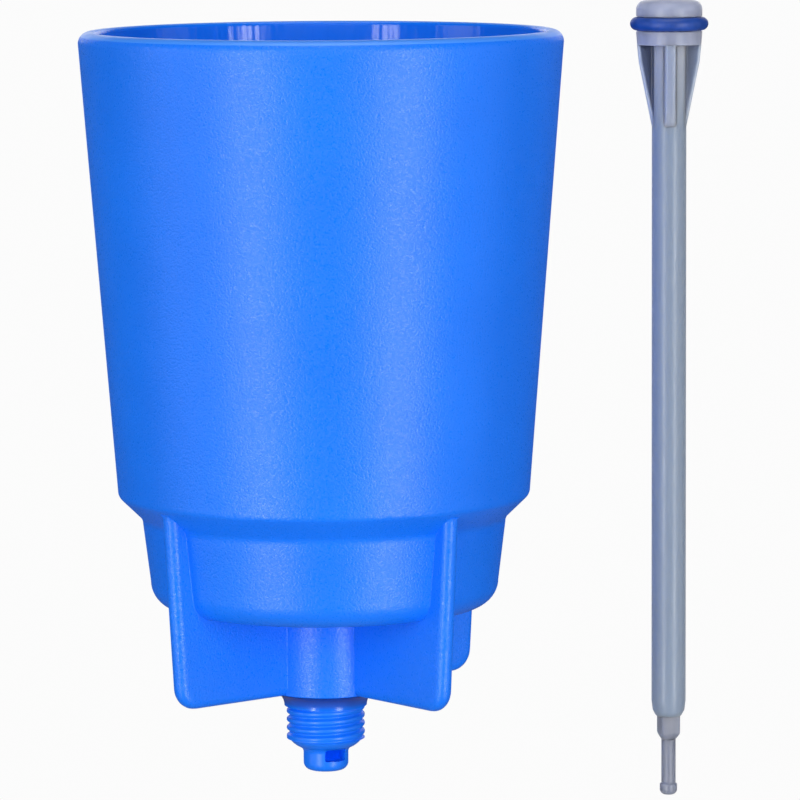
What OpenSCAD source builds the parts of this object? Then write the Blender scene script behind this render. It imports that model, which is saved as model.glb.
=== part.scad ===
// Fuel sampler cup: a stepped, finned cup with a probe socket and a threaded
// drain spigot, and the separate sealing probe that plugs into the socket.
// The origin is on the cup's axis, in the plane of the boss's underside.
// The probe stands beside the cup, head up. Millimetres, +Z up.

/* [Cup] */
// Outside diameter of the rim
rim_d = 80; // [76:0.5:84]
// Height of the rim above the underside of the boss
rim_z = 110; // [100:1:120]
// Thickness of the rim
rim_t = 2.9; // [2.7:0.1:3.4]
// Outside diameter at the foot of the tapered tumbler
base_d = 68.5; // [66:0.1:70]
// Height of the foot of the tumbler
base_z = 33.9; // [33:0.1:36]
// Thickness of the wall and of the floor
wall = 2.6; // [2.2:0.1:2.8]

/* [Step] */
// Outside diameter at the top of the step
step_top_d = 60.3; // [58:0.1:61]
// Height of the top of the step's straight wall
step_top_z = 28.4; // [27:0.1:28.8]
// Outside diameter at the bottom of the step's straight wall
step_low_d = 57.9; // [56:0.1:58.4]
// Height of the underside of the floor
floor_z = 14.5; // [13:0.1:15.5]
// Radius of the floor's outer edge
floor_r = 4.2; // [3.6:0.1:4.8]

/* [Fins] */
// Number of fins
fin_count = 4; // [4:1:4]
// Direction of the first fin, from +X
fin_angle = 40; // [30:1:60]
// Thickness of a fin
fin_t = 2.9; // [2:0.1:3.5]
// Radius that a fin reaches near its bottom
fin_low_r = 31.5; // [30:0.1:32]
// Radius that a fin reaches under the tumbler
fin_top_r = 33.4; // [33:0.05:33.8]
// Radius of a fin's bottom outer corner
fin_corner_r = 3.8; // [2:0.1:6]

/* [Socket boss] */
// Outside diameter of the boss
boss_d = 18.8; // [17:0.1:20]
// Diameter of the bore that the probe's seal fits
socket_d = 13; // [12.96:0.01:13.1]
// Height of the bottom of the socket
socket_z = 2; // [1.5:0.1:3]
// Diameter of the drain passage below the socket
passage_d = 6; // [5.6:0.1:6.4]

/* [Drain spigot] */
// Diameter of the flared collar against the boss
collar_d = 18.8; // [18.4:0.1:19]
// Height of the flared collar
collar_h = 2.5; // [2.2:0.1:2.6]
// Diameter over the thread's crests
thread_d = 13.06; // [12.9:0.01:13.2]
// Depth of the thread
thread_depth = 0.5; // [0.3:0.05:0.7]
// Distance from one crest to the next
thread_pitch = 1.41; // [1.35:0.01:1.45]
// Number of crests
thread_turns = 4; // [3:1:4]
// Diameter of the tip
tip_d = 7.5; // [7.2:0.1:8]
// Distance of the tip's end below the boss
tip_end = 13.5; // [13.3:0.1:14]
// Diameter of the bore in the tip
tip_bore_d = 4.6; // [4:0.1:5]
// Width of the drain port
port_w = 3.7; // [3:0.05:4]
// Height of the drain port
port_h = 2.1; // [1.8:0.1:2.2]
// Direction that the drain port faces, from +X
port_angle = -62; // [-90:1:0]

/* [Probe] */
// Distance from the cup's axis to the probe's
probe_x = 57.35; // [50:0.05:70]
// Height of the top of the head's dome
dome_z = 114.9; // [112:0.1:118]
// Diameter of the head
head_d = 10.9; // [10.4:0.1:11.2]
// Outside diameter of the seal
seal_d = 12.9; // [12.8:0.01:12.98]
// Thickness of the seal's round section
seal_t = 2.2; // [2:0.1:2.6]
// Diameter of the guide stub on the dome
stub_d = 4.3; // [4:0.1:5]
// Length of the guide stub
stub_l = 8; // [6:0.5:9]
// Diameter of the rod
rod_d = 5.7; // [5:0.1:6]
// Thickness of a web under the head
web_t = 1.7; // [1.2:0.1:2.2]
// Height of the webs
web_h = 13.5; // [10:0.5:16]
// Width of the square shoulder
shoulder_w = 3.2; // [2.8:0.1:3.4]
// Turn of the square shoulder about the rod
shoulder_turn = 14.5; // [0:0.5:45]
// Diameter of the pin
pin_d = 2.4; // [1.8:0.1:2.6]
// Diameter of the pin's rounded end
pin_end_d = 2.9; // [2.7:0.1:3.4]
// Distance of the pin's end below the boss
pin_end = 18.1; // [16:0.1:19]

/* [Hidden] */
$fn = 96;

cup_blue = [0.16, 0.50, 0.95];
natural = [0.70, 0.75, 0.86];
seal_blue = [0.13, 0.28, 0.66];

// Cup outline: the shoulder is a hollow curve, a 45 degree cone and a round corner
rim_out_r = 1.9;
rim_in_r = 0.8;
hollow_r = 2.1;
round_r = 1.5;
min_corner_r = 0.8;
bevel_k = sqrt(2) - 1;
floor_top = floor_z + wall;
boss_r = boss_d / 2;
inside = 60;

// Drain spigot levels
thread_r = thread_d / 2;
thread_end = collar_h + thread_turns * thread_pitch;
nose_z = 9.3;
nose_r = 4.9;
tip_neck_z = 10.5;
tip_edge_r = 1.3;
port_z = 11.7;
bore_end = 12.3;

// Probe levels
groove_top = dome_z - 2.9;
groove_h = seal_t + 0.2;
groove_r = seal_d / 2 - seal_t;
collar_low = groove_top - groove_h - 2.25;
web_r = 5.3;
rod_end = -2.1;
rod_tip = -4.7;
rod_tip_r = 2.2;
shoulder_end = -7.8;
pin_start = -8.7;
pin_ball = -pin_end + 2.1;

// Points on an arc of radius r about c, from angle a to angle b
function arc(c, r, a, b, n = 6) =
    [for (i = [0:n]) c + r * [cos(a + (b - a) * i / n), sin(a + (b - a) * i / n)]];

// Outline of the cup from its floor to its tumbler, t inside the outer skin
function cup_line(t) = concat(
    floor_corner(t, max(floor_r - t, min_corner_r)),
    arc([step_top_d / 2 + hollow_r, step_top_z], hollow_r + t, 180, 135, 4),
    corner(t, max(round_r - t, min_corner_r))
);

// Round corner of radius r at the edge of the floor, t inside the outer skin
function floor_corner(t, r) =
    arc([step_low_d / 2 - t - r, floor_z + t + r], r, -90, 0);

// Round corner of radius r at the foot of the tumbler, t inside the outer skin
function corner(t, r) =
    arc([base_d / 2 - t - r, base_z + bevel_k * (t + r - round_r)], r, -45, 0, 4);

// Outline of one side of the rim, its round edge included
outer_rim = arc([rim_d / 2 - rim_out_r, rim_z - rim_out_r], rim_out_r, 0, 90);
inner_rim = arc([rim_d / 2 - rim_t + rim_in_r, rim_z - rim_in_r], rim_in_r, 90, 180);

function backwards(points) = [for (i = [len(points) - 1:-1:0]) points[i]];

// The cup's outer form as a filled body, which the fins fit against
module cup_form() {
    rotate_extrude()
        polygon(concat([[0, floor_z]], cup_line(0), [[0, base_z]]));
}

module cup_shell() {
    color(cup_blue)
        rotate_extrude()
            polygon(concat(
                [[boss_r, floor_z]], cup_line(0), outer_rim,
                inner_rim, backwards(cup_line(wall)), [[boss_r, floor_top]]
            ));
}

// A flat plate under the step, cut to the boss, the floor and the shoulder
module fin(turn) {
    color(cup_blue)
        rotate(turn)
            difference() {
                translate([0, fin_t / 2, 0])
                    rotate([90, 0, 0])
                        linear_extrude(fin_t)
                            polygon(concat(
                                [[0, 0]],
                                arc([fin_low_r - fin_corner_r, fin_corner_r], fin_corner_r, -90, 0),
                                [
                                    [fin_top_r, base_z - 1.8],
                                    [base_d / 2 - 2, base_z - 0.2],
                                    [0, base_z - 0.2]
                                ]
                            ));
                cup_form();
                translate([0, 0, -1])
                    cylinder(r = boss_r, h = inside);
            }
}

module socket_boss() {
    color(cup_blue)
        difference() {
            cylinder(r = boss_r, h = floor_top);
            translate([0, 0, socket_z])
                cylinder(d = socket_d, h = inside);
            translate([0, 0, -1])
                cylinder(d = passage_d, h = inside);
        }
}

module spigot_collar() {
    color(cup_blue)
        rotate_extrude()
            polygon(concat(
                [[passage_d / 2, -collar_h], [passage_d / 2, 0]],
                backwards(arc([collar_d / 2, -collar_h], collar_h, 180, 90)),
                [[thread_r, -collar_h]]
            ));
}

// The thread's form as round ridges, one to a turn
module spigot_thread() {
    root = thread_r - thread_depth;
    ridges = [
        for (i = [0:thread_turns - 1])
            for (p = [[root, 0.08], [thread_r, 0.34], [thread_r, 0.6], [root, 0.92]])
                [p[0], -collar_h - (i + p[1]) * thread_pitch]
    ];
    color(cup_blue)
        rotate_extrude()
            polygon(concat(
                [[passage_d / 2, -collar_h], [root, -collar_h]], ridges,
                [[root, -thread_end], [nose_r, -nose_z], [passage_d / 2, -nose_z]]
            ));
}

module spigot_tip() {
    color(cup_blue)
        difference() {
            rotate_extrude()
                polygon(concat(
                    [[0, -nose_z], [0, -tip_end]],
                    arc([tip_d / 2 - tip_edge_r, tip_edge_r - tip_end], tip_edge_r, -90, 0),
                    arc([tip_d / 2 + 1, -tip_neck_z], 1, 180, 120, 3), [[nose_r, -nose_z]]
                ));
            translate([0, 0, -bore_end])
                cylinder(d = tip_bore_d, h = inside);
            rotate(port_angle)
                translate([0, -port_w / 2, -port_z])
                    cube([tip_d, port_w, port_h]);
        }
}

// Dome, seal groove and collar, with the guide stub on top
module probe_head() {
    color(natural)
        translate([probe_x, 0, 0])
            rotate_extrude()
                polygon(concat(
                    [[0, collar_low], [web_r, collar_low], [head_d / 2, groove_top - groove_h]],
                    [[groove_r, groove_top - groove_h], [groove_r, groove_top]],
                    [[head_d / 2, groove_top]],
                    arc([head_d / 2 - 1.4, dome_z - 1.6], 1.4, 0, 80),
                    [[stub_d / 2, dome_z], [stub_d / 2, dome_z + stub_l - 0.5]],
                    [[stub_d / 2 - 0.5, dome_z + stub_l], [0, dome_z + stub_l]]
                ));
}

module probe_seal() {
    color(seal_blue)
        translate([probe_x, 0, groove_top - groove_h / 2])
            rotate_extrude()
                translate([seal_d / 2 - seal_t / 2, 0])
                    circle(d = seal_t, $fn = 48);
}

// Four webs that widen from the rod to the head
module probe_webs() {
    color(natural)
        translate([probe_x, 0, 0])
            difference() {
                for (turn = [0, 90])
                    rotate(turn)
                        translate([0, web_t / 2, 0])
                            rotate([90, 0, 0])
                                linear_extrude(web_t)
                                    polygon([
                                        [-web_r, collar_low],
                                        [-web_r + 0.3, collar_low - 2.9],
                                        [-rod_d / 2, collar_low - web_h],
                                        [rod_d / 2, collar_low - web_h],
                                        [web_r - 0.3, collar_low - 2.9],
                                        [web_r, collar_low]
                                    ]);
                cylinder(d = rod_d, h = 2 * inside);
            }
}

module probe_stem() {
    color(natural)
        translate([probe_x, 0, 0])
            rotate_extrude()
                polygon([
                    [0, rod_tip], [rod_tip_r, rod_tip], [rod_tip_r + 0.45, rod_tip + 1],
                    [rod_d / 2, rod_end], [rod_d / 2, collar_low], [0, collar_low]
                ]);
}

module probe_shoulder() {
    color(natural)
        translate([probe_x, 0, 0]) {
            rotate(shoulder_turn)
                translate([-shoulder_w / 2, -shoulder_w / 2, shoulder_end])
                    cube([shoulder_w, shoulder_w, rod_tip - shoulder_end]);
            translate([0, 0, pin_start])
                cylinder(d1 = pin_d, d2 = shoulder_w, h = shoulder_end - pin_start);
        }
}

module probe_pin() {
    round_r = 0.9;
    color(natural)
        translate([probe_x, 0, 0])
            rotate_extrude()
                polygon(concat(
                    [[0, pin_start], [0, -pin_end]],
                    arc([pin_end_d / 2 - round_r, round_r - pin_end], round_r, -90, 0),
                    [[pin_end_d / 2, pin_ball - 0.4], [pin_d / 2, pin_ball], [pin_d / 2, pin_start]]
                ));
}

cup_shell();
fin(fin_angle);  // fin_rear_right
fin(fin_angle + 360 / fin_count);  // fin_rear_left
fin(fin_angle + 2 * 360 / fin_count);  // fin_front_left
fin(fin_angle + 3 * 360 / fin_count);  // fin_front_right
socket_boss();
spigot_collar();
spigot_thread();
spigot_tip();
probe_head();
probe_seal();
probe_webs();
probe_stem();
probe_shoulder();
probe_pin();
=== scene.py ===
"""Looks of the fuel sampler cup and its sealing probe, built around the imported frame."""

import math

import bmesh
import bpy
import numpy as np
from mathutils import Euler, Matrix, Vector


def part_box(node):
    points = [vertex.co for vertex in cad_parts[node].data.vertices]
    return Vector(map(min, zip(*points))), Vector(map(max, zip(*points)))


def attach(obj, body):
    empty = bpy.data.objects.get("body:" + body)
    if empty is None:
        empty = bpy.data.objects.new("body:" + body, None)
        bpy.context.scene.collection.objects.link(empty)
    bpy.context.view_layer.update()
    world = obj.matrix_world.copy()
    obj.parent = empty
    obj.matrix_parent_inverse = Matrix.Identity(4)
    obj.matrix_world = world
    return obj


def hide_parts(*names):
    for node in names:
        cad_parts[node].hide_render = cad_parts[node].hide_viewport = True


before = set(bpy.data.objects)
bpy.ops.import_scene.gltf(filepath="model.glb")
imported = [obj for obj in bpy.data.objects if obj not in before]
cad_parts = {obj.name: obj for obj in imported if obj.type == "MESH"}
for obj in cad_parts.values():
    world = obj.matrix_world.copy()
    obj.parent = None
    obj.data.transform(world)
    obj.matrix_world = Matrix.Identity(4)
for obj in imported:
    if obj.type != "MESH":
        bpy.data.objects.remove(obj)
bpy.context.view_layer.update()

# ---------------------------------------------------------------- dimensions
# Every length is in millimetres until a mesh is written, which is in metres.
MM = 0.001


def box_mm(node):
    """Lowest and highest corner of a CAD node, in millimetres."""
    low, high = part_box(node)
    return Vector(low) / MM, Vector(high) / MM


cup_low, cup_high = box_mm("cup_shell")
boss_high = box_mm("socket_boss")[1]
collar_low, collar_high = box_mm("spigot_collar")
thread_low, thread_high = box_mm("spigot_thread")
tip_low, tip_high = box_mm("spigot_tip")
fin_box = {
    n: box_mm(n)
    for n in ("fin_rear_right", "fin_rear_left", "fin_front_left", "fin_front_right")
}

# Cup
RIM_R, RIM_Z = cup_high.x, cup_high.z
RIM_T = 2.9
RIM_OUT_R, RIM_IN_R = 1.9, 0.8
FLOOR_Z, FLOOR_TOP = cup_low.z, boss_high.z
WALL = FLOOR_TOP - FLOOR_Z
BASE_R, BASE_Z = 34.25, 33.9
STEP_TOP_R, STEP_TOP_Z = 30.15, 28.4
STEP_LOW_R, FLOOR_R = 28.95, 4.2
HOLLOW_R, ROUND_R, MIN_CORNER_R = 2.1, 1.5, 0.8
SOCKET_EDGE_R = 0.5

# Fins
FIN_T = 2.9
FIN_LOW_R, FIN_TOP_R, FIN_CORNER_R = 31.5, 33.4, 3.8
FIN_TOP_Z = BASE_Z - 1.8
FIN_ROOT_R = 0.05
FIN_EDGE_R = 1.4

# Boss and drain spigot
BOSS_R = boss_high.x
BOSS_ROOT_R, BOSS_EDGE_R = 0.5, 0.25
SOCKET_R, SOCKET_Z, PASSAGE_R = 6.5, 2.0, 3.0
COLLAR_R, COLLAR_H = collar_high.x, -collar_low.z
THREAD_R, THREAD_DEPTH, PITCH = thread_high.x, 0.5, 1.41
FIRST_CREST_Z = -3.16
NOSE_R, NOSE_Z = tip_high.x, thread_low.z
NOSE_POWER = 1.6  # above 1 rounds the end of the thread
THREAD_END_Z = -8.1
THREAD_FADE_IN, THREAD_FADE_OUT = 0.3, 0.5
CREST_POWER = 1.6  # above 1 widens the crests
TIP_R, TIP_NECK_Z, TIP_END_Z, TIP_EDGE_R = 3.75, -10.5, tip_low.z, 1.3
TIP_NECK_R = 1.0
TIP_BORE_R, TIP_BORE_END = 2.3, -12.3
TIP_LIP = 0.4
PORT_W, PORT_LOW_Z, PORT_H, PORT_TURN = 3.7, -11.7, 2.1, -62.0
PORT_EDGE_R = 0.3

# Probe
head_low, head_high = box_mm("probe_head")
seal_low, seal_high = box_mm("probe_seal")
webs_low, webs_high = box_mm("probe_webs")
stem_low, stem_high = box_mm("probe_stem")
block_low, block_high = box_mm("probe_shoulder")
pin_low, pin_high = box_mm("probe_pin")
PROBE_X = (stem_low.x + stem_high.x) / 2
HEAD_R = (head_high.x - head_low.x) / 2
STUB_R, STUB_L = 2.15, 8.0
STUB_ROOT_R, STUB_EDGE_R = 0.3, 0.5
DOME_Z = head_high.z - STUB_L
DOME_EDGE_R, DOME_DROP, DOME_TURN = 1.5, 1.75, 76
HEAD_EDGE_R = 0.15
SEAL_R = (seal_high.x - seal_low.x) / 2
SEAL_T = seal_high.z - seal_low.z
SEAL_Z = (seal_low.z + seal_high.z) / 2
GROOVE_H = SEAL_T + 0.2
WEB_R = (webs_high.x - webs_low.x) / 2
WEB_T, WEB_EDGE_R = 1.7, 0.3
WEB_BEND_IN, WEB_BEND_DROP = 0.3, 2.9
ROD_R = (stem_high.x - stem_low.x) / 2
# radius and height above the rod's lower end, where it narrows to the shoulder
ROD_NOSE = [(0.0, 0.0), (2.05, 0.0), (2.2, 0.15), (2.65, 1.0), (ROD_R, 2.6)]
BLOCK_W, BLOCK_TURN, BLOCK_TAPER_H = 3.2, 14.5, 0.9
PIN_R, PIN_END_R, PIN_END_H = 1.2, (pin_high.x - pin_low.x) / 2, 2.1
PIN_NECK, PIN_TOP_R, PIN_TIP_R = 0.1, 0.35, 0.9


# ---------------------------------------------------------------- outlines
def arc(cx, cz, r, a, b, n=8):
    """Points on an arc of radius r about (cx, cz), from angle a to b in degrees."""
    turns = np.radians(np.linspace(a, b, n + 1))
    return [(cx + r * math.cos(t), cz + r * math.sin(t)) for t in turns]


def fine(points, step=2.0):
    """The same outline with its long stretches cut up, so that shading stays local."""
    out = [points[0]]
    for p, q in zip(points, points[1:]):
        count = max(1, math.ceil(math.dist(p, q) / step))
        out += [
            (p[0] + (q[0] - p[0]) * k / count, p[1] + (q[1] - p[1]) * k / count)
            for k in range(1, count + 1)
        ]
    return out


def cup_line(t):
    """The cup's outline from its floor to the foot of the tumbler, t inside the outer skin."""
    k, q = math.sqrt(2) - 1, max(ROUND_R - t, MIN_CORNER_R)
    r = max(FLOOR_R - t, MIN_CORNER_R)
    return (
        arc(STEP_LOW_R - t - r, FLOOR_Z + t + r, r, -90, 0, 12)
        + arc(STEP_TOP_R + HOLLOW_R, STEP_TOP_Z, HOLLOW_R + t, 180, 135, 6)
        + arc(BASE_R - t - q, BASE_Z + k * (t + q - ROUND_R), q, -45, 0, 6)
    )


def spacing(points):
    """Running length at each point of an outline."""
    steps = [math.dist(p, q) for p, q in zip(points, points[1:])]
    return np.concatenate([[0.0], np.cumsum(steps)])


def along(points, count):
    """count points at equal spaces along an outline."""
    s = spacing(points)
    p = np.array(points)
    at = np.linspace(0, s[-1], count)
    return np.stack([np.interp(at, s, p[:, 0]), np.interp(at, s, p[:, 1])], 1)


def away_from(points, line):
    """Distance of each point from an outline."""
    a, b = np.array(line[:-1]), np.array(line[1:])
    d = b - a
    t = ((points[:, None] - a) * d).sum(2) / np.maximum((d * d).sum(1), 1e-12)
    foot = a + np.clip(t, 0, 1)[..., None] * d
    return np.linalg.norm(points[:, None] - foot, axis=2).min(1)


def quarter(distance, radius):
    """How far a quarter round of this radius rises at a distance from its foot."""
    left = np.clip(radius - distance, 0, radius)
    return radius - np.sqrt(radius**2 - left**2)


# ---------------------------------------------------------------- meshes
def piece(name, verts, faces, materials, picks=None, sharp=38, inset=None):
    """A smooth-shaded mesh object from points in millimetres, its doubled points merged."""
    mesh = bpy.data.meshes.new(name)
    mesh.from_pydata([tuple(c * MM for c in v) for v in verts], [], faces)
    for m in materials:
        mesh.materials.append(m)
    if picks is not None:
        mesh.polygons.foreach_set("material_index", picks)
    if inset is not None:
        mesh.attributes.new("inset", "FLOAT", "POINT").data.foreach_set("value", inset)
    work = bmesh.new()
    work.from_mesh(mesh)
    bmesh.ops.remove_doubles(work, verts=work.verts, dist=1e-7)
    bmesh.ops.dissolve_degenerate(work, edges=work.edges, dist=1e-8)
    bmesh.ops.recalc_face_normals(work, faces=work.faces)
    work.to_mesh(mesh)
    work.free()
    obj = bpy.data.objects.new(name, mesh)
    bpy.context.scene.collection.objects.link(obj)
    finish_shading(mesh, sharp)
    return obj


def finish_shading(mesh, sharp):
    mesh.shade_smooth()
    mesh.set_sharp_from_angle(angle=math.radians(sharp))


def lathe(name, parts, axis_x=0.0, segments=160, sharp=38):
    """A closed outline turned about a vertical axis.

    The outline comes in parts, each with its points of (radius, height) and its material.
    """
    materials = list(dict.fromkeys(m for _, m in parts))
    outline = [(p, materials.index(m)) for points, m in parts for p in points]
    verts, rings, faces, picks = [], [], [], []
    turns = [2 * math.pi * k / segments for k in range(segments)]
    for (r, z), _ in outline:
        if r < 1e-6:
            rings.append([len(verts)] * segments)
            verts.append((axis_x, 0, z))
        else:
            rings.append(list(range(len(verts), len(verts) + segments)))
            verts += [(axis_x + r * math.cos(t), r * math.sin(t), z) for t in turns]
    for i, ring in enumerate(rings):
        after = rings[(i + 1) % len(rings)]
        for k in range(segments):
            n = (k + 1) % segments
            corners = list(dict.fromkeys([ring[k], ring[n], after[n], after[k]]))
            if len(corners) > 2:
                faces.append(corners)
                picks.append(outline[i][1])
    return piece(name, verts, faces, materials, picks, sharp)


def plate(name, inner, outer, half, root_r, edge_r, turns, materials, axis_x=0.0, rows=90):
    """Upright radial plates between two outlines of (radius, height).

    The inner outline lies on the body that the plate grows out of, where it flares into a
    round root. The outer outline is the plate's free edge, which is rounded. The attribute
    "inset" holds the distance from the free edge in millimetres. Each turn's plate has the
    material of the same place in the list.
    """
    a, b = along(inner, rows), along(outer, rows)
    across = (1 - np.cos(np.linspace(0, math.pi, 27))) / 2
    grid = a[:, None] + across[None, :, None] * (b - a)[:, None]
    flat = grid.reshape(-1, 2)
    to_edge = away_from(flat, outer)
    lift = half + quarter(away_from(flat, inner), root_r) - quarter(to_edge, edge_r)
    lift = np.minimum(lift, flat[:, 0] * 0.7).reshape(rows, -1)
    to_edge = to_edge.reshape(rows, -1)
    tangent = np.gradient(a, axis=0)
    tangent /= np.maximum(np.linalg.norm(tangent, axis=1, keepdims=True), 1e-9)
    # the closed root is hidden half a millimetre inside the body
    root = a + 0.5 * np.stack([-tangent[:, 1], tangent[:, 0]], 1)
    # once round the plate: root, one face, free edge, other face, root
    face = [(root, lift[:, 0], to_edge[:, 0])]
    face += [(grid[:, k], lift[:, k], to_edge[:, k]) for k in range(grid.shape[1])]
    rim = [(grid[:, -1], lift[:, -1] * k, to_edge[:, -1]) for k in (0.5, 0.0, -0.5)]
    loops = face + rim + [(p, -y, d) for p, y, d in face[::-1]]
    verts, faces, inset = [], [], []
    for turn in turns:
        start = len(verts)
        c, s = math.cos(turn), math.sin(turn)
        for points, y, depth in loops:
            x = np.sqrt(np.maximum(points[:, 0] ** 2 - y**2, 0.01))
            for px, py, pz in zip(x, y, points[:, 1]):
                verts.append((axis_x + px * c - py * s, px * s + py * c, pz))
            inset += list(depth)
        count = len(loops)
        for j in range(count):
            this, after = start + j * rows, start + (j + 1) % count * rows
            faces += [(this + i, this + i + 1, after + i + 1, after + i) for i in range(rows - 1)]
        faces.append([start + j * rows for j in range(count)])
        faces.append([start + j * rows + rows - 1 for j in reversed(range(count))])
    per_turn = len(faces) // len(turns)
    picks = [k // per_turn % len(materials) for k in range(len(faces))]
    return piece(name, verts, faces, materials, picks, 50, inset)


# ---------------------------------------------------------------- materials
# Features of each noise to the metre
CLOUDS_PER_M, WAVES_PER_M, HAZE_PER_M, GRAIN_PER_M = 45, 110, 260, 2900
RIPPLES_PER_M, SWELLS_PER_M = 700, 70
MILK_PER_M, STREAKS_PER_M, BLOOM_PER_M = 900, 420, 600
UPRIGHT_RIPPLE, UPRIGHT_STREAK = (1, 1, 0.03), (1, 1, 0.06)


def new_material(name):
    m = bpy.data.materials.new(name)
    m.use_nodes = True
    m.node_tree.nodes.clear()
    out = m.node_tree.nodes.new("ShaderNodeOutputMaterial")
    shader = m.node_tree.nodes.new("ShaderNodeBsdfPrincipled")
    m.node_tree.links.new(shader.outputs[0], out.inputs[0])
    return m, m.node_tree.nodes, m.node_tree.links, shader


def noise(nodes, links, scale, detail=2.0, stretch=(1, 1, 1)):
    """Noise over the piece itself, with about scale features to the metre."""
    where = nodes.new("ShaderNodeTexCoord")
    mapping = nodes.new("ShaderNodeMapping")
    mapping.inputs["Scale"].default_value = stretch
    texture = nodes.new("ShaderNodeTexNoise")
    texture.inputs["Scale"].default_value = scale
    texture.inputs["Detail"].default_value = detail
    links.new(where.outputs["Object"], mapping.inputs["Vector"])
    links.new(mapping.outputs[0], texture.inputs["Vector"])
    return texture.outputs["Fac"]


def ramp(nodes, links, value, stops):
    """A colour ramp over value; stops are (position, colour)."""
    r = nodes.new("ShaderNodeValToRGB")
    while len(r.color_ramp.elements) < len(stops):
        r.color_ramp.elements.new(0.5)
    for element, (at, colour) in zip(r.color_ramp.elements, stops):
        element.position = at
        element.color = (*colour, 1)
    links.new(value, r.inputs["Fac"])
    return r.outputs["Color"]


def span(nodes, links, value, low, high, start=0.35, end=0.65):
    """value, from start to end, as a number from low to high."""
    r = nodes.new("ShaderNodeMapRange")
    r.inputs["From Min"].default_value = start
    r.inputs["From Max"].default_value = end
    r.inputs["To Min"].default_value = low
    r.inputs["To Max"].default_value = high
    links.new(value, r.inputs["Value"])
    return r.outputs["Result"]


def by_height(nodes, links, shader, low, high, stops):
    """Base colour by height on the piece, from a low to a high level in millimetres."""
    where, split = nodes.new("ShaderNodeTexCoord"), nodes.new("ShaderNodeSeparateXYZ")
    links.new(where.outputs["Object"], split.inputs[0])
    height = span(nodes, links, split.outputs["Z"], 0, 1, low * MM, high * MM)
    links.new(ramp(nodes, links, height, stops), shader.inputs["Base Color"])


def bump(nodes, links, shader, heights):
    """Bumps from (height socket, strength, distance in metres), one over the other."""
    normal = None
    for height, strength, distance in heights:
        b = nodes.new("ShaderNodeBump")
        b.inputs["Strength"].default_value = strength
        b.inputs["Distance"].default_value = distance
        links.new(height, b.inputs["Height"])
        if normal is not None:
            links.new(normal, b.inputs["Normal"])
        normal = b.outputs["Normal"]
    links.new(normal, shader.inputs["Normal"])


BLUE_LOW, BLUE_HIGH = (0.001, 0.168, 0.90), (0.002, 0.186, 0.97)
# the rim's paler blue is a painted highlight, where its rounded edge catches the light
RIM_PAINTED_HIGHLIGHT_LOW, RIM_PAINTED_HIGHLIGHT_HIGH = (0.045, 0.26, 0.95), (0.06, 0.29, 0.98)


def grained_blue():
    """Mid blue moulding with a fine spark-eroded grain."""
    m, nodes, links, shader = new_material("cup_blue_grained")
    clouds = noise(nodes, links, CLOUDS_PER_M, 3)
    links.new(
        ramp(nodes, links, clouds, [(0.3, BLUE_LOW), (0.7, BLUE_HIGH)]),
        shader.inputs["Base Color"],
    )
    grain = noise(nodes, links, GRAIN_PER_M, 2)
    links.new(span(nodes, links, grain, 0.26, 0.50), shader.inputs["Roughness"])
    waves = noise(nodes, links, WAVES_PER_M, 2)
    bump(nodes, links, shader, [(grain, 0.7, 0.00012), (waves, 0.2, 0.0001)])
    return m


def smooth_blue(name, low, high, rough, ripple):
    """The same moulding where the mould was polished, with slight upright ripples."""
    m, nodes, links, shader = new_material(name)
    clouds = noise(nodes, links, CLOUDS_PER_M, 3)
    links.new(
        ramp(nodes, links, clouds, [(0.3, low), (0.7, high)]), shader.inputs["Base Color"]
    )
    haze = noise(nodes, links, HAZE_PER_M, 3)
    links.new(span(nodes, links, haze, rough, rough + 0.08), shader.inputs["Roughness"])
    ripples = noise(nodes, links, RIPPLES_PER_M, 1, UPRIGHT_RIPPLE)
    waves = noise(nodes, links, SWELLS_PER_M, 2)
    bump(nodes, links, shader, [(ripples, 0.6, ripple), (waves, 0.15, 0.0002)])
    return m


def flare_blue():
    """The polished flare under the boss, deep in shade at its top."""
    m, nodes, links, shader = new_material("cup_blue_flare")
    tones = [(0.0, BLUE_LOW), (0.3, HALF_SHADE), (0.75, SHADE)]
    by_height(nodes, links, shader, -COLLAR_H, 0.0, tones)
    haze = noise(nodes, links, HAZE_PER_M, 3)
    links.new(span(nodes, links, haze, 0.2, 0.28), shader.inputs["Roughness"])
    bump(nodes, links, shader, [(haze, 0.15, 0.00005)])
    return m


def bore_painted_glow():
    """The tip's thin bore, given a painted glow that stands in for light coming through the wall.
    """
    m, nodes, links, shader = new_material("cup_blue_bore_painted_glow")
    haze = noise(nodes, links, HAZE_PER_M, 3)
    links.new(
        ramp(nodes, links, haze, [(0.3, BLUE_LOW), (0.7, BLUE_HIGH)]),
        shader.inputs["Base Color"],
    )
    shader.inputs["Roughness"].default_value = 0.4
    # the emission is a painted glow; the bore is no lamp
    shader.inputs["Emission Color"].default_value = (0.0, 0.10, 0.62, 1)
    shader.inputs["Emission Strength"].default_value = 0.35
    return m


def natural(name, low, high):
    """Natural translucent moulding, hazy and a little streaked along the probe."""
    m, nodes, links, shader = new_material(name)
    streaks = noise(nodes, links, STREAKS_PER_M, 3, UPRIGHT_STREAK)
    links.new(
        ramp(nodes, links, streaks, [(0.35, low), (0.65, high)]), shader.inputs["Base Color"]
    )
    haze = finish_natural(nodes, links, shader)
    bump(nodes, links, shader, [(haze, 0.12, 0.00005), (streaks, 0.18, 0.00006)])
    return m


def natural_web(name, inside):
    """A web's thin face in painted light: painted shade where light passes through it, and a
    painted highlight on its pale free edge.
    """
    m, nodes, links, shader = new_material(name)
    # distance from the free edge runs from the painted highlight to the painted shade
    inset = nodes.new("ShaderNodeAttribute")
    inset.attribute_name = "inset"
    deep = span(nodes, links, inset.outputs["Fac"], 0, 1, 0.1, 0.6)
    links.new(
        ramp(nodes, links, deep, [(0.1, WEB_EDGE_PAINTED_HIGHLIGHT), (0.9, inside)]), shader.inputs["Base Color"]
    )
    haze = finish_natural(nodes, links, shader)
    bump(nodes, links, shader, [(haze, 0.12, 0.00005)])
    return m


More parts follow.
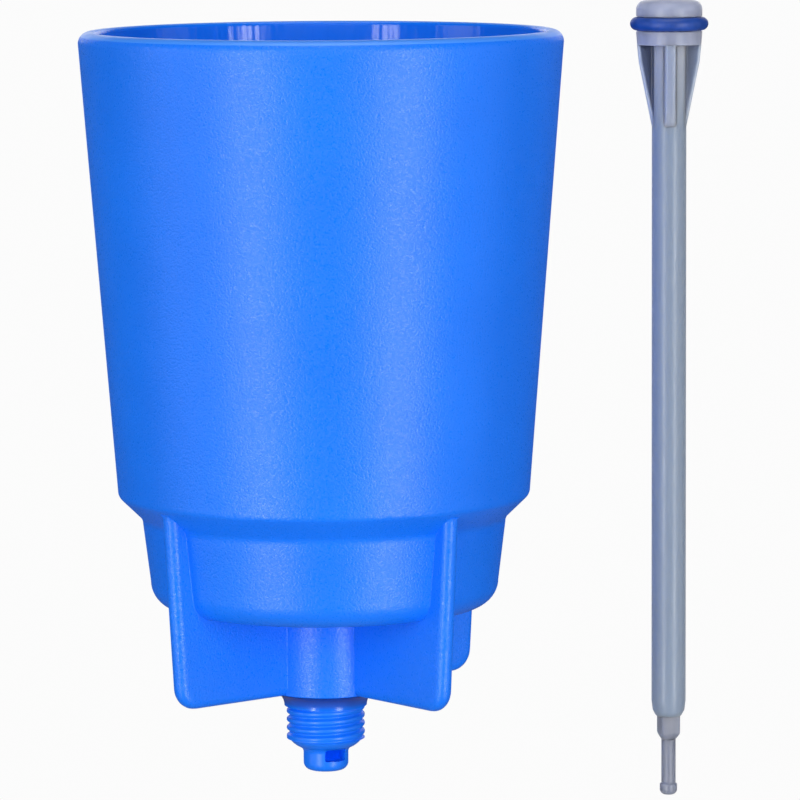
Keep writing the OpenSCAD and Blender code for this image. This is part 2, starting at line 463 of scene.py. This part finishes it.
def natural_stem_painted_light():
    """The rod's moulding, painted paler between the webs: painted light that evens out the shade
    they cast.
    """
    m, nodes, links, shader = new_material("probe_natural_rod_painted_light")
    # painted light: the rod lightens upwards through the webs, against the shade they cast
    tones = [(0.0, ROD_TONE), (0.8, STEM_PAINTED_LIGHT_TONE)]
    by_height(nodes, links, shader, webs_low.z, webs_high.z, tones)
    haze = finish_natural(nodes, links, shader)
    streaks = noise(nodes, links, STREAKS_PER_M, 3, UPRIGHT_STREAK)
    bump(nodes, links, shader, [(haze, 0.12, 0.00005), (streaks, 0.18, 0.00006)])
    return m


def finish_natural(nodes, links, shader):
    """The haze, sheen and soft light inside that all the natural moulding shares."""
    shader.inputs["Subsurface Weight"].default_value = 1.0
    shader.inputs["Subsurface Radius"].default_value = (0.8, 0.9, 1.0)
    shader.inputs["Subsurface Scale"].default_value = 0.004
    shader.inputs["Sheen Weight"].default_value = 0.45
    shader.inputs["Sheen Roughness"].default_value = 0.4
    haze = noise(nodes, links, MILK_PER_M, 3)
    links.new(span(nodes, links, haze, 0.30, 0.44), shader.inputs["Roughness"])
    return haze


def seal_rubber():
    m, nodes, links, shader = new_material("seal_blue")
    bloom = noise(nodes, links, BLOOM_PER_M, 4)
    links.new(
        ramp(nodes, links, bloom, [(0.35, (0.005, 0.045, 0.27)), (0.7, (0.010, 0.065, 0.37))]),
        shader.inputs["Base Color"],
    )
    links.new(span(nodes, links, bloom, 0.36, 0.5), shader.inputs["Roughness"])
    bump(nodes, links, shader, [(bloom, 0.15, 0.00005)])
    return m


# painted light: the webs' pale free edge is a painted highlight, and the rod's paler tone between
# the webs makes up for the shade they cast
WEB_EDGE_PAINTED_HIGHLIGHT, STEM_PAINTED_LIGHT_TONE = (0.37, 0.42, 0.53), (0.44, 0.48, 0.58)
ROD_TONE = (0.245, 0.30, 0.39)
SHADE, HALF_SHADE = (0.012, 0.045, 0.33), (0.012, 0.09, 0.55)

GRAIN = grained_blue()
# the rim material carries the painted highlight
RIM_PAINTED_HIGHLIGHT = smooth_blue("cup_blue_rim_painted_highlight", RIM_PAINTED_HIGHLIGHT_LOW, RIM_PAINTED_HIGHLIGHT_HIGH, 0.3, 0.00001)
LINING = smooth_blue("cup_blue_lining", BLUE_LOW, BLUE_HIGH, 0.14, 0.00018)
LINING.node_tree.nodes["Principled BSDF"].inputs["Specular IOR Level"].default_value = 0.35
GLOSS = smooth_blue("cup_blue_glossy", BLUE_LOW, BLUE_HIGH, 0.34, 0.00001)
FLARE = flare_blue()
BORE_PAINTED_GLOW = bore_painted_glow()
# the rod material carries painted light between the webs
STEM_PAINTED_LIGHT_MATERIAL = natural_stem_painted_light()
NATURAL_HEAD = natural("probe_natural_head", (0.29, 0.32, 0.44), (0.34, 0.365, 0.49))
NATURAL_PIN = natural("probe_natural_pin", (0.165, 0.18, 0.235), (0.215, 0.23, 0.29))
WEB_FRONT = natural("probe_natural_web_front", (0.28, 0.32, 0.42), (0.34, 0.385, 0.49))
# lit and shaded copies of one moulding: the left web in deeper painted shade than the right one
WEB_LEFT_DEEP_PAINTED_SHADE = natural_web("probe_natural_web_left_deep_painted_shade", (0.055, 0.075, 0.14))
WEB_RIGHT_PAINTED_SHADE = natural_web("probe_natural_web_right_painted_shade", (0.14, 0.17, 0.25))
SEAL = seal_rubber()


# ---------------------------------------------------------------- cup
def on_cup(obj, node):
    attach(obj, "cup")
    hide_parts(node)


def cup_shell():
    """Grained skin, a smooth rim painted slightly paler as a highlight, and a polished lining."""
    outer_rim = arc(RIM_R - RIM_OUT_R, RIM_Z - RIM_OUT_R, RIM_OUT_R, 0, 90, 12)
    inner_rim = arc(RIM_R - RIM_T + RIM_IN_R, RIM_Z - RIM_IN_R, RIM_IN_R, 90, 180)
    e = SOCKET_EDGE_R
    socket_edge = arc(SOCKET_R + e, FLOOR_TOP - e, e, 90, 180, 4)
    skin = fine([(SOCKET_R, FLOOR_Z)] + cup_line(0) + outer_rim[:5])
    lining = fine(inner_rim[4:] + cup_line(WALL)[::-1] + socket_edge + [(SOCKET_R, FLOOR_Z)])
    rim = outer_rim[5:] + inner_rim[:4]
    parts = [(skin, GRAIN), (rim, RIM_PAINTED_HIGHLIGHT), (lining[:-1], LINING)]
    on_cup(lathe("cup_shell_moulding", parts, segments=224), "cup_shell")


def fins():
    """Four plates under the step, each with a round root and rounded edges."""
    body = fine([(BOSS_R, 0.0), (BOSS_R, FLOOR_Z)] + cup_line(0), 0.5)
    top = next(i for i, p in enumerate(body) if p[0] > FIN_TOP_R + 0.1)
    low = FIN_LOW_R - FIN_CORNER_R
    edge = [(BOSS_R, 0.0)] + arc(low, FIN_CORNER_R, FIN_CORNER_R, -90, 0)
    edge = fine(edge + [(FIN_TOP_R, FIN_TOP_Z)], 0.5)
    for name, (low_corner, high_corner) in fin_box.items():
        centre = (low_corner + high_corner) / 2
        turn = math.atan2(centre.y, centre.x)
        on_cup(
            plate(
                name + "_plate", body[:top], edge, FIN_T / 2, FIN_ROOT_R, FIN_EDGE_R,
                [turn], [GRAIN], rows=110,
            ),
            name,
        )


def socket_boss():
    outside = fine(
        arc(BOSS_R + BOSS_ROOT_R, FLOOR_Z - BOSS_ROOT_R, BOSS_ROOT_R, 90, 180)
        + arc(BOSS_R - BOSS_EDGE_R, BOSS_EDGE_R, BOSS_EDGE_R, 0, -90, 5)
    )
    bore = fine(
        [(PASSAGE_R, 0.0), (PASSAGE_R, SOCKET_Z), (SOCKET_R, SOCKET_Z), (SOCKET_R, FLOOR_Z)]
    )
    on_cup(lathe("socket_boss_moulding", [(outside, GRAIN), (bore, LINING)]), "socket_boss")


def spigot_collar():
    flare = arc(COLLAR_R, -COLLAR_H, COLLAR_H, 90, 180, 14)
    outline = fine([(PASSAGE_R, 0.0)] + flare + [(PASSAGE_R, -COLLAR_H)], 1.0)
    on_cup(lathe("spigot_collar_moulding", [(outline, FLARE)]), "spigot_collar")


def thread_radius(turn, z):
    """Radius of the right-hand thread at a turn (radians) and height."""
    first = FIRST_CREST_Z + PITCH / 4
    phase = ((z - first) / PITCH - turn / (2 * math.pi)) % 1.0
    off_crest = min(phase, 1 - phase) * 2
    cut = 0.5 - 0.5 * math.cos(math.pi * off_crest)
    fade = min(1, max(0, (-COLLAR_H - z) / THREAD_FADE_IN))
    fade *= min(1, max(0, (z - THREAD_END_Z) / THREAD_FADE_OUT))
    body = THREAD_R
    if z < THREAD_END_Z:
        drop = (THREAD_END_Z - z) / (THREAD_END_Z - NOSE_Z)
        taper = (THREAD_R - THREAD_DEPTH - NOSE_R) * drop**NOSE_POWER
        body = THREAD_R - THREAD_DEPTH * (1 - fade) - taper
    return body - THREAD_DEPTH * cut**CREST_POWER * fade


def spigot_thread():
    """A true helix, closed by the drain passage through it."""
    segments, rows = 160, 96
    verts, faces = [], []
    turns = [2 * math.pi * k / segments for k in range(segments)]
    heights = np.linspace(-COLLAR_H, NOSE_Z, rows)
    for z in heights:
        for t in turns:
            r = thread_radius(t, z)
            verts.append((r * math.cos(t), r * math.sin(t), z))
    for z in heights[::-1]:
        verts += [(PASSAGE_R * math.cos(t), PASSAGE_R * math.sin(t), z) for t in turns]
    for i in range(2 * rows):
        this, after = i * segments, (i + 1) % (2 * rows) * segments
        for k in range(segments):
            n = (k + 1) % segments
            faces.append((this + k, this + n, after + n, after + k))
    on_cup(piece("spigot_thread_moulding", verts, faces, [GLOSS], sharp=50), "spigot_thread")


def port_cutter():
    """The drain port's form: a flat bar with round edges, from the tip's bore outwards."""
    r = PORT_EDGE_R
    corners = [(1, 1, 0), (-1, 1, 90), (-1, -1, 180), (1, -1, 270)]
    outline = []
    for sx, sz, start in corners:
        outline += arc(
            sx * (PORT_W / 2 - r), PORT_LOW_Z + PORT_H / 2 + sz * (PORT_H / 2 - r),
            r, start, start + 90, 4,
        )
    turn = math.radians(PORT_TURN)
    c, s = math.cos(turn), math.sin(turn)
    verts = []
    for reach in (0.0, 2 * TIP_R):
        verts += [(reach * c - y * s, reach * s + y * c, z) for y, z in outline]
    count = len(outline)
    faces = [(k, (k + 1) % count, count + (k + 1) % count, count + k) for k in range(count)]
    faces += [list(range(count)), list(range(2 * count - 1, count - 1, -1))]
    return piece("port_cutter", verts, faces, [GLOSS])


def spigot_tip():
    outside = fine(
        [(NOSE_R, NOSE_Z)]
        + arc(TIP_R + TIP_NECK_R, TIP_NECK_Z, TIP_NECK_R, 120, 180, 6)
        + arc(TIP_R - TIP_EDGE_R, TIP_END_Z + TIP_EDGE_R, TIP_EDGE_R, 0, -90)
        + [(0.0, TIP_END_Z)],
        0.8,
    )
    bore = fine(
        [(0.0, TIP_BORE_END), (TIP_BORE_R, TIP_BORE_END), (TIP_BORE_R, NOSE_Z)]
        + [(PASSAGE_R - TIP_LIP, NOSE_Z)],
        0.8,
    )
    # the bore faces carry the painted glow
    obj = lathe("spigot_tip_moulding", [(outside, GLOSS), (bore, BORE_PAINTED_GLOW)], segments=96)
    cutter = port_cutter()
    cut = obj.modifiers.new("port", "BOOLEAN")
    cut.operation = "DIFFERENCE"
    cut.solver = "EXACT"
    cut.object = cutter
    bpy.context.view_layer.update()
    done = obj.evaluated_get(bpy.context.evaluated_depsgraph_get())
    mesh = bpy.data.meshes.new_from_object(done)
    obj.modifiers.clear()
    obj.data = mesh
    bpy.data.objects.remove(cutter)
    finish_shading(mesh, 38)
    on_cup(obj, "spigot_tip")


# ---------------------------------------------------------------- probe
def on_probe(obj, node):
    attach(obj, "probe")
    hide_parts(node)


def probe_lathe(node, outline, material, segments=96, step=1.0):
    """A probe piece turned about the probe's axis."""
    parts = [(fine(outline, step), material)]
    on_probe(lathe(node + "_moulding", parts, PROBE_X, segments), node)


def probe_head():
    groove_r = SEAL_R - SEAL_T
    groove_top, groove_low = SEAL_Z + GROOVE_H / 2, SEAL_Z - GROOVE_H / 2
    e = HEAD_EDGE_R
    outline = (
        [(0.0, head_low.z), (WEB_R - e, head_low.z), (WEB_R, head_low.z + e)]
        + arc(HEAD_R - e, groove_low - e, e, 0, 90, 3)
        + [(groove_r, groove_low), (groove_r, groove_top)]
        + arc(HEAD_R - e, groove_top + e, e, -90, 0, 3)
        + arc(HEAD_R - DOME_EDGE_R, DOME_Z - DOME_DROP, DOME_EDGE_R, 0, DOME_TURN)
        + arc(STUB_R + STUB_ROOT_R, DOME_Z + STUB_ROOT_R, STUB_ROOT_R, 270, 180, 4)
        + arc(STUB_R - STUB_EDGE_R, head_high.z - STUB_EDGE_R, STUB_EDGE_R, 0, 90, 5)
        + [(0.0, head_high.z)]
    )
    probe_lathe("probe_head", outline, NATURAL_HEAD, 128)


def probe_seal():
    outline = arc(SEAL_R - SEAL_T / 2, SEAL_Z, SEAL_T / 2, 0, 360, 32)[:-1]
    probe_lathe("probe_seal", outline, SEAL, 128)


def probe_webs():
    """Four thin webs that widen from the rod to the collar."""
    body = fine([(ROD_R, webs_low.z), (ROD_R, webs_high.z), (WEB_R, webs_high.z)], 0.3)
    bend = (WEB_R - WEB_BEND_IN, webs_high.z - WEB_BEND_DROP)
    edge = fine([(ROD_R, webs_low.z), bend, (WEB_R, webs_high.z)], 0.3)
    turns = [k * math.pi / 2 for k in range(4)]
    # left and right webs carry painted shade, the left one deeper; front and back keep the plain
    # tone
    obj = plate(
        "probe_webs_moulding", body, edge, WEB_T / 2, WEB_EDGE_R, WEB_EDGE_R, turns,
        [WEB_RIGHT_PAINTED_SHADE, WEB_FRONT, WEB_LEFT_DEEP_PAINTED_SHADE, WEB_FRONT], axis_x=PROBE_X, rows=40,
    )
    on_probe(obj, "probe_webs")


def probe_stem():
    outline = [(r, stem_low.z + up) for r, up in ROD_NOSE]
    outline += [(ROD_R, stem_high.z), (0.0, stem_high.z)]
    # the rod carries painted light between the webs
    probe_lathe("probe_stem", outline, STEM_PAINTED_LIGHT_MATERIAL, step=2.0)


def round_square(half, corner, count=6):
    """Points of a square with round corners, anticlockwise."""
    points = []
    for k, (sx, sy) in enumerate([(1, 1), (-1, 1), (-1, -1), (1, -1)]):
        points += arc(
            sx * (half - corner), sy * (half - corner), corner, 90 * k, 90 * k + 90, count
        )
    return points


def probe_shoulder():
    """A square block that narrows to the pin."""
    # height, half the width and corner radius of each section, downwards
    top, low, end = block_high.z, block_low.z + BLOCK_TAPER_H, block_low.z
    sections = [
        (top, BLOCK_W / 2, 0.3), (low + 0.3, BLOCK_W / 2, 0.3), (low, BLOCK_W / 2 - 0.06, 0.4),
        ((low + end) / 2, 1.42, 0.95), (end + 0.1, 1.25, 1.15), (end, PIN_R, PIN_R - 0.01),
    ]
    turn = math.radians(BLOCK_TURN)
    c, s = math.cos(turn), math.sin(turn)
    verts, faces = [], []
    for z, half, corner in sections:
        verts += [
            (PROBE_X + x * c - y * s, x * s + y * c, z) for x, y in round_square(half, corner)
        ]
    count = len(verts) // len(sections)
    for i in range(len(sections) - 1):
        this, after = i * count, (i + 1) * count
        for k in range(count):
            n = (k + 1) % count
            faces.append((this + k, this + n, after + n, after + k))
    faces += [list(range(count)), list(range(len(verts) - 1, len(verts) - count - 1, -1))]
    on_probe(piece("probe_shoulder_moulding", verts, faces, [NATURAL_PIN]), "probe_shoulder")


def probe_pin():
    ball = pin_low.z + PIN_END_H
    outline = (
        [(0.0, pin_high.z), (PIN_R, pin_high.z), (PIN_R, ball + PIN_NECK)]
        + arc(PIN_END_R - PIN_TOP_R, ball - PIN_NECK - PIN_TOP_R, PIN_TOP_R, 80, 0, 4)
        + arc(PIN_END_R - PIN_TIP_R, pin_low.z + PIN_TIP_R, PIN_TIP_R, 0, -90)
        + [(0.0, pin_low.z)]
    )
    probe_lathe("probe_pin", outline, NATURAL_PIN, 64)


cup_shell()
fins()
socket_boss()
spigot_collar()
spigot_thread()
spigot_tip()
probe_head()
probe_seal()
probe_webs()
probe_stem()
probe_shoulder()
probe_pin()


# ---------------------------------------------------------------- studio
FLOOR_LEVEL, FLOOR_HALF, FLOOR_DULL = -0.7, 30.0, (0.24, 0.24, 0.25, 1)
WORLD_LIGHT, WORLD_GLOSSY, BACKDROP = 0.22, 0.07, 0.97
LIGHTS_AIM = (0, 0, 0.05)
CAMERA_AT = (0.0127, -0.83, 0.1452)
CAMERA_DOWN, CAMERA_ROLL = 6.637, 0.3
LENS, SENSOR, CLIP_START, CLIP_END = 226.4, 36, 0.05, 100

# Azimuth and elevation in degrees, distance, width and height in metres, and radiance
PANELS = {
    "strip_left": (-34, -6, 1.1, 0.18, 1.2, 11.0),
    "strip_right": (40, -6, 1.1, 0.18, 1.2, 12.0),
    "side_left": (-78, 5, 1.3, 0.5, 1.0, 1.8),
    "side_right": (85, 5, 1.3, 0.5, 1.0, 0.8),
    "front_fill": (0, 25, 1.8, 1.4, 1.0, 0.9),
    "top_soft": (0, 80, 0.9, 0.7, 0.7, 1.8),
    "rear_low": (180, 14, 1.6, 1.6, 0.6, 1.2),
}
UNMIRRORED_PANELS = {
    "rear_left": (-148, 12, 1.5, 0.7, 1.0, 2.4),
    "rear_right": (148, 12, 1.5, 0.7, 1.0, 2.4),
}


def area_light(name, azimuth, elevation, distance, width, height, radiance, mirrored=True):
    """A soft panel that faces the object. Azimuth 0 is in front of it, on the -Y side.

    One that isn't mirrored lights the object without showing in its reflections.
    """
    a, e = math.radians(azimuth), math.radians(elevation)
    away = Vector((math.sin(a) * math.cos(e), -math.cos(a) * math.cos(e), math.sin(e)))
    light = bpy.data.lights.new(name, "AREA")
    light.shape = "RECTANGLE"
    light.size, light.size_y = width, height
    light.energy = radiance * math.pi * width * height
    obj = bpy.data.objects.new(name, light)
    obj.location = Vector(LIGHTS_AIM) + away * distance
    obj.rotation_euler = away.to_track_quat("Z", "Y").to_euler()
    obj.visible_camera = False
    obj.visible_glossy = mirrored
    bpy.context.scene.collection.objects.link(obj)


def studio_floor():
    """A plain pale floor far below the object, as the cup hangs from its spigot mount."""
    half = FLOOR_HALF
    corners = [(-half, -half), (half, -half), (half, half), (-half, half)]
    mesh = bpy.data.meshes.new("studio_floor")
    mesh.from_pydata([(x, y, FLOOR_LEVEL) for x, y in corners], [], [(0, 1, 2, 3)])
    m = bpy.data.materials.new("studio_floor")
    m.use_nodes = True
    nodes, links = m.node_tree.nodes, m.node_tree.links
    nodes.clear()
    out = nodes.new("ShaderNodeOutputMaterial")
    seen, path = nodes.new("ShaderNodeMixShader"), nodes.new("ShaderNodeLightPath")
    dull, glow = nodes.new("ShaderNodeBsdfDiffuse"), nodes.new("ShaderNodeEmission")
    dull.inputs["Color"].default_value = FLOOR_DULL
    glow.inputs["Strength"].default_value = BACKDROP
    links.new(path.outputs["Is Camera Ray"], seen.inputs[0])
    links.new(dull.outputs[0], seen.inputs[1])
    links.new(glow.outputs[0], seen.inputs[2])
    links.new(seen.outputs[0], out.inputs[0])
    mesh.materials.append(m)
    obj = bpy.data.objects.new("studio_floor", mesh)
    bpy.context.scene.collection.objects.link(obj)


def studio_world(light, glossy, backdrop):
    """Even light all round, dimmer in reflections, with a near-white backdrop."""
    world = bpy.data.worlds.new("studio")
    bpy.context.scene.world = world
    world.use_nodes = True
    nodes, links = world.node_tree.nodes, world.node_tree.links
    nodes.clear()
    out, path = nodes.new("ShaderNodeOutputWorld"), nodes.new("ShaderNodeLightPath")
    result = None
    for strength, ray in ((light, None), (glossy, "Is Glossy Ray"), (backdrop, "Is Camera Ray")):
        background = nodes.new("ShaderNodeBackground")
        background.inputs["Color"].default_value = (1, 1, 1, 1)
        background.inputs["Strength"].default_value = strength
        if ray is None:
            result = background.outputs[0]
            continue
        seen = nodes.new("ShaderNodeMixShader")
        links.new(path.outputs[ray], seen.inputs[0])
        links.new(result, seen.inputs[1])
        links.new(background.outputs[0], seen.inputs[2])
        result = seen.outputs[0]
    links.new(result, out.inputs[0])


def camera():
    """A long lens a little above the rim, looking slightly down, turned a hair clockwise."""
    lens = bpy.data.cameras.new("camera")
    lens.lens, lens.sensor_width = LENS, SENSOR
    lens.clip_start, lens.clip_end = CLIP_START, CLIP_END
    obj = bpy.data.objects.new("camera", lens)
    obj.location = CAMERA_AT
    down, roll = math.radians(CAMERA_DOWN), math.radians(CAMERA_ROLL)
    obj.rotation_euler = (
        Euler((math.pi / 2 - down, 0, 0)).to_matrix() @ Euler((0, 0, -roll)).to_matrix()
    ).to_euler()
    bpy.context.scene.collection.objects.link(obj)
    bpy.context.scene.camera = obj


bpy.context.scene.view_settings.view_transform = "Standard"
camera()
studio_world(WORLD_LIGHT, WORLD_GLOSSY, BACKDROP)
studio_floor()
for panel, setting in PANELS.items():
    area_light(panel, *setting)
for panel, setting in UNMIRRORED_PANELS.items():
    area_light(panel, *setting, mirrored=False)
